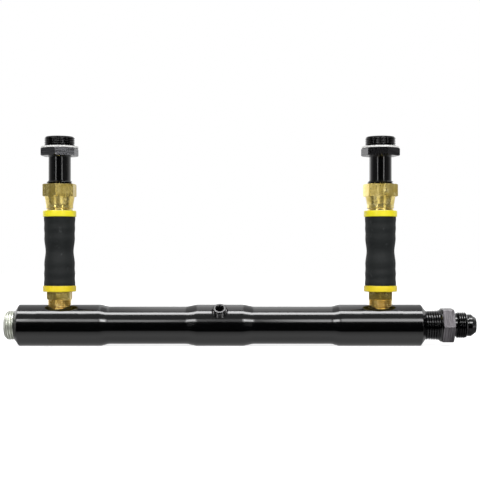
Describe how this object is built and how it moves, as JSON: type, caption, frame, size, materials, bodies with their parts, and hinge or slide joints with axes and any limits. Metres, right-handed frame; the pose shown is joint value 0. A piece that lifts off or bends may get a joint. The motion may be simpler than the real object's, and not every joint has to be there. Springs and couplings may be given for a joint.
{
  "type": "fuel rail",
  "caption": "Dual-feed carburettor fuel rail: black bar with a flared inlet at one end, a plug at the other, and legs of brass, hose and threaded adapter up to the carburettor.",
  "frame": {"origin": "midway between the two carburettor threads, in the plane where the sealing washers meet the carburettor", "axes": "+X along the bar towards the fuel inlet, +Z out of the bar along the legs towards the carburettor, -Y towards the side where the gauge port shows"},
  "size_m": [0.3462, 0.0315, 0.154],
  "materials": {
    "black_anodised": "bright black anodised",
    "zinc_plated_steel": "clear zinc plated",
    "brass": "machined",
    "yellow_plastic": "gloss",
    "hose_rubber": "matte",
    "white_nylon": "satin"
  },
  "bodies": {
    "root": {"rail_body": "black_anodised", "end_plug": "zinc_plated_steel", "inlet_adapter": "black_anodised", "gauge_port_plug": "black_anodised", "rail_hose_fitting_left": "brass", "lower_collar_left": "yellow_plastic", "hose_left": "hose_rubber", "upper_collar_left": "yellow_plastic", "swivel_nipple_left": "brass", "swivel_nut_left": "brass", "carb_adapter_left": "black_anodised", "sealing_washer_left": "white_nylon", "rail_hose_fitting_right": "brass", "lower_collar_right": "yellow_plastic", "hose_right": "hose_rubber", "upper_collar_right": "yellow_plastic", "swivel_nipple_right": "brass", "swivel_nut_right": "brass", "carb_adapter_right": "black_anodised", "sealing_washer_right": "white_nylon"}
  },
  "joints": []
}
